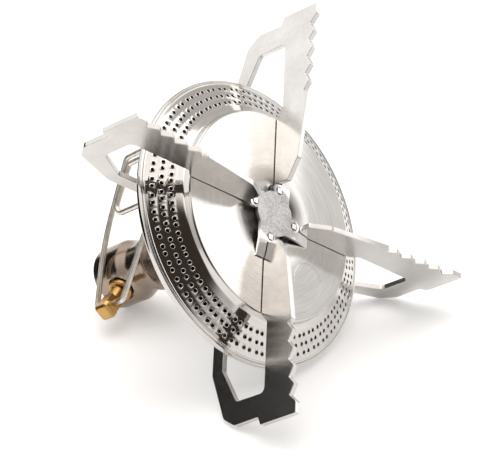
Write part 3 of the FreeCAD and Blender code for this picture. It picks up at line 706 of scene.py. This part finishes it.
back = Vector((
    math.sin(VIEW_AZIMUTH) * math.cos(VIEW_ELEVATION),
    -math.cos(VIEW_AZIMUTH) * math.cos(VIEW_ELEVATION),
    math.sin(VIEW_ELEVATION),
))
level = Vector((math.cos(VIEW_AZIMUTH), math.sin(VIEW_AZIMUTH), 0))
right = level * math.cos(VIEW_ROLL) + back.cross(level) * math.sin(VIEW_ROLL)
up = back.cross(right)

STUDIO_WALL = (0.66, 0.64, 0.62)
# direction, angle of full strength, angle where it ends, colour
STUDIO = (
    (Vector((-0.60, 0.43, 0.66)), 28, 50, (1.50, 1.44, 1.38)),
    (Vector((-0.62, 0.43, -0.66)), 25, 60, (1.32, 1.31, 1.29)),
    (Vector((0.79, 0.54, 0.28)), 10, 24, (1.60, 1.58, 1.55)),
    (Vector((0.62, 0.43, 0.66)), 9, 22, (1.95, 1.94, 1.92)),
    (Vector((0.80, 0.55, -0.25)), 12, 30, (1.50, 1.48, 1.45)),
    (Vector((-0.10, -0.07, 0.99)), 16, 28, (0.050, 0.038, 0.030)),
    (Vector((-0.45, -0.30, 0.84)), 18, 30, (0.050, 0.038, 0.030)),
    (Vector((-0.72, -0.49, 0.49)), 16, 32, (0.060, 0.046, 0.038)),
)


def node_points(node):
    return [vertex.co.copy() for vertex in frame["nodes"][node].data.vertices]


CONTACTS = ("pot_support_3", "pot_support_4", "valve_body")
CONTACT_PASSES = 6


def resting_plane():
    """The plane that the stove lies on: two supports' outer corners and the housing's edge.

    Each pass finds the lowest points along the plane's direction, then the plane through them.
    """
    normal = (up * 0.9 + back * 0.43).normalized()
    for _ in range(CONTACT_PASSES):
        touch = [min(node_points(name), key=normal.dot) for name in CONTACTS]
        normal = (touch[1] - touch[0]).cross(touch[2] - touch[0]).normalized()
        if normal.dot(up) < 0:
            normal = -normal
    return normal, touch[0]


FLOOR_REACH = 3.0
FLOOR_STEPS = 24


def make_floor(normal, point):
    """Wide pale floor, seen from above only, so that it never hides the stove from below."""
    mesh = bmesh.new()
    across = normal.cross(back).normalized()
    onward = normal.cross(across)
    grid = {}
    centre = STOVE_CENTRE - normal * normal.dot(STOVE_CENTRE - point)
    for i in range(FLOOR_STEPS + 1):
        for j in range(FLOOR_STEPS + 1):
            u = FLOOR_REACH * (2 * i / FLOOR_STEPS - 1)
            v = FLOOR_REACH * (2 * j / FLOOR_STEPS - 1)
            grid[i, j] = mesh.verts.new(centre + across * u + onward * v)
    for i in range(FLOOR_STEPS):
        for j in range(FLOOR_STEPS):
            mesh.faces.new((grid[i, j], grid[i + 1, j], grid[i + 1, j + 1], grid[i, j + 1]))
    mesh.normal_update()
    mesh.faces.ensure_lookup_table()
    if mesh.faces[0].normal.dot(normal) < 0:
        bmesh.ops.reverse_faces(mesh, faces=mesh.faces)
    data = bpy.data.meshes.new("floor")
    mesh.to_mesh(data)
    mesh.free()
    floor = bpy.data.objects.new("floor", data)
    bpy.context.scene.collection.objects.link(floor)
    data.materials.append(floor_material())


def floor_material():
    """Pale paper with a faint glow, clear from behind."""
    n = Nodes("pale_floor")
    cloud = n.noise(n.place, 6, 2.0)
    shade = n.ramp(cloud, [(0.3, (0.90, 0.90, 0.90)), (0.7, (0.93, 0.93, 0.93))])
    relief = n.bump(n.noise(n.place, 400, 2.0), 0.02, 0.02 * MM)
    n.finish(shade, n.span(cloud, 0.28, 0.34), relief, metallic=0.0)
    n.shader.inputs["Specular IOR Level"].default_value = 0.35
    n.shader.inputs["Emission Color"].default_value = (1, 1, 1, 1)
    n.shader.inputs["Emission Strength"].default_value = 0.22
    clear = n.add("ShaderNodeBsdfTransparent")
    choose = n.add("ShaderNodeMixShader")
    side = n.add("ShaderNodeNewGeometry").outputs["Backfacing"]
    n.link(side, choose.inputs[0])
    n.link(n.shader.outputs[0], choose.inputs[1])
    n.link(clear.outputs[0], choose.inputs[2])
    n.link(choose.outputs[0], n.tree.nodes["Material Output"].inputs["Surface"])
    return n.material


def make_card(name, centre, facing, width, height, strength, upward):
    """A studio card that only shows in reflections: bright above zero strength, black at zero."""
    side = upward.cross(facing).normalized()
    top = facing.cross(side).normalized()
    mesh = bmesh.new()
    corners = [
        centre + side * width / 2 * a + top * height / 2 * b
        for a, b in ((-1, -1), (1, -1), (1, 1), (-1, 1))
    ]
    mesh.faces.new([mesh.verts.new(corner) for corner in corners])
    data = bpy.data.meshes.new(name)
    mesh.to_mesh(data)
    mesh.free()
    card = bpy.data.objects.new(name, data)
    bpy.context.scene.collection.objects.link(card)
    material = bpy.data.materials.new(name)
    material.use_nodes = True
    shader = material.node_tree.nodes["Principled BSDF"]
    shader.inputs["Base Color"].default_value = (0, 0, 0, 1)
    shader.inputs["Specular IOR Level"].default_value = 0
    shader.inputs["Emission Color"].default_value = (1, 1, 1, 1)
    shader.inputs["Emission Strength"].default_value = strength
    data.materials.append(material)
    card.visible_camera = False
    card.visible_diffuse = False
    card.visible_shadow = False


def make_world():
    """A pale studio: bright lobes around, dark brown overhead and towards the viewer's side."""
    world = bpy.data.worlds.new("studio")
    bpy.context.scene.world = world
    world.use_nodes = True
    tree = world.node_tree
    background = tree.nodes["Background"]
    place = tree.nodes.new("ShaderNodeTexCoord").outputs["Generated"]

    def lobe(direction, inner, outer):
        """1 within the inner angle of a direction, 0 beyond the outer one."""
        dot = tree.nodes.new("ShaderNodeVectorMath")
        dot.operation = "DOT_PRODUCT"
        tree.links.new(place, dot.inputs[0])
        dot.inputs[1].default_value = direction.normalized()
        span = tree.nodes.new("ShaderNodeMapRange")
        span.interpolation_type = "SMOOTHSTEP"
        span.inputs["From Min"].default_value = math.cos(math.radians(outer))
        span.inputs["From Max"].default_value = math.cos(math.radians(inner))
        tree.links.new(dot.outputs["Value"], span.inputs["Value"])
        return span.outputs["Result"]

    shade = None
    for direction, inner, outer, colour in STUDIO:
        mix = tree.nodes.new("ShaderNodeMix")
        mix.data_type = "RGBA"
        tree.links.new(lobe(direction, inner, outer), mix.inputs["Factor"])
        if shade is None:
            mix.inputs["A"].default_value = (*STUDIO_WALL, 1)
        else:
            tree.links.new(shade, mix.inputs["A"])
        mix.inputs["B"].default_value = (*colour, 1)
        shade = mix.outputs["Result"]
    tree.links.new(shade, background.inputs["Color"])
    background.inputs["Strength"].default_value = 1.0


def make_light(name, direction, distance, size, power):
    """Soft square lamp aimed at the stove."""
    data = bpy.data.lights.new(name, "AREA")
    data.shape = "SQUARE"
    data.size = size
    data.energy = power
    lamp = bpy.data.objects.new(name, data)
    bpy.context.scene.collection.objects.link(lamp)
    lamp.location = STOVE_CENTRE + direction.normalized() * distance
    lamp.rotation_mode = "QUATERNION"
    lamp.rotation_quaternion = direction.to_track_quat("Z", "Y")


def make_camera():
    data = bpy.data.cameras.new("camera")
    data.lens = LENS_MM
    data.sensor_width = SENSOR_MM
    data.clip_start = 0.05
    data.clip_end = 20
    camera = bpy.data.objects.new("camera", data)
    bpy.context.scene.collection.objects.link(camera)
    turn = camera.matrix_world.copy()
    for row in range(3):
        turn[row][0] = right[row]
        turn[row][1] = up[row]
        turn[row][2] = back[row]
    camera.matrix_world = turn
    camera.location = (
        STOVE_CENTRE + back * VIEW_DISTANCE + right * VIEW_SLIDE.x + up * VIEW_SLIDE.y
    )
    bpy.context.scene.camera = camera


# ---------------------------------------------------------------- build
# the dark card shows in the near support, the grey card in the cap
DARK_CARD_POINT = Vector((0, -50, 62)) * MM
DARK_CARD_WAY = Vector((-0.616, 0.425, -0.663))
GREY_CARD_WAY = Vector((0.616, 0.425, 0.663)).normalized()
GREY_CARD_SIDE = Vector((0.80, -0.18, -0.60)).normalized()
SOFT_EDGES = {
    "valve_body": 0.25, "locking_collar": 0.2, "gland_nut": 0.15, "valve_stem": 0.2,
    "tube_nut": 0.25, "gas_jet": 0.12, "mixing_tube": 0.12, "lower_pivot_plate": 0.1,
    "hub_spacer": 0.1, "support_spacer": 0.1, "hub_rivet": 0.1, "valve_probe": 0.05,
    "hub_plate": 0.1,
}

make_camera()
floor_normal, floor_point = resting_plane()
make_floor(floor_normal, floor_point)
make_world()
make_light("overhead", floor_normal + up * 0.2 - back * 0.2, distance=0.7, size=0.6, power=1.6)
make_card(
    "dark_card", DARK_CARD_POINT + DARK_CARD_WAY * 0.2 - floor_normal * 0.03, -DARK_CARD_WAY,
    width=0.24, height=0.12, strength=0.0, upward=floor_normal,
)
make_card(
    "grey_card", STOVE_CENTRE + GREY_CARD_WAY * 0.066 + GREY_CARD_SIDE * 0.032, -GREY_CARD_WAY,
    width=0.16, height=0.06, strength=0.9, upward=GREY_CARD_SIDE,
)

make_burner_top()
make_burner_bowl()
make_wire()
make_thread()
make_stamp()
for number, node in enumerate(SUPPORTS, start=1):
    finish_of(refined(node, "support_%d" % number), node)
for node, width in SOFT_EDGES.items():
    soften(node, width * MM)
for node, slot in SLOT_OF.items():
    paint(frame["nodes"][node], slot)

bpy.context.scene.view_settings.view_transform = "Standard"
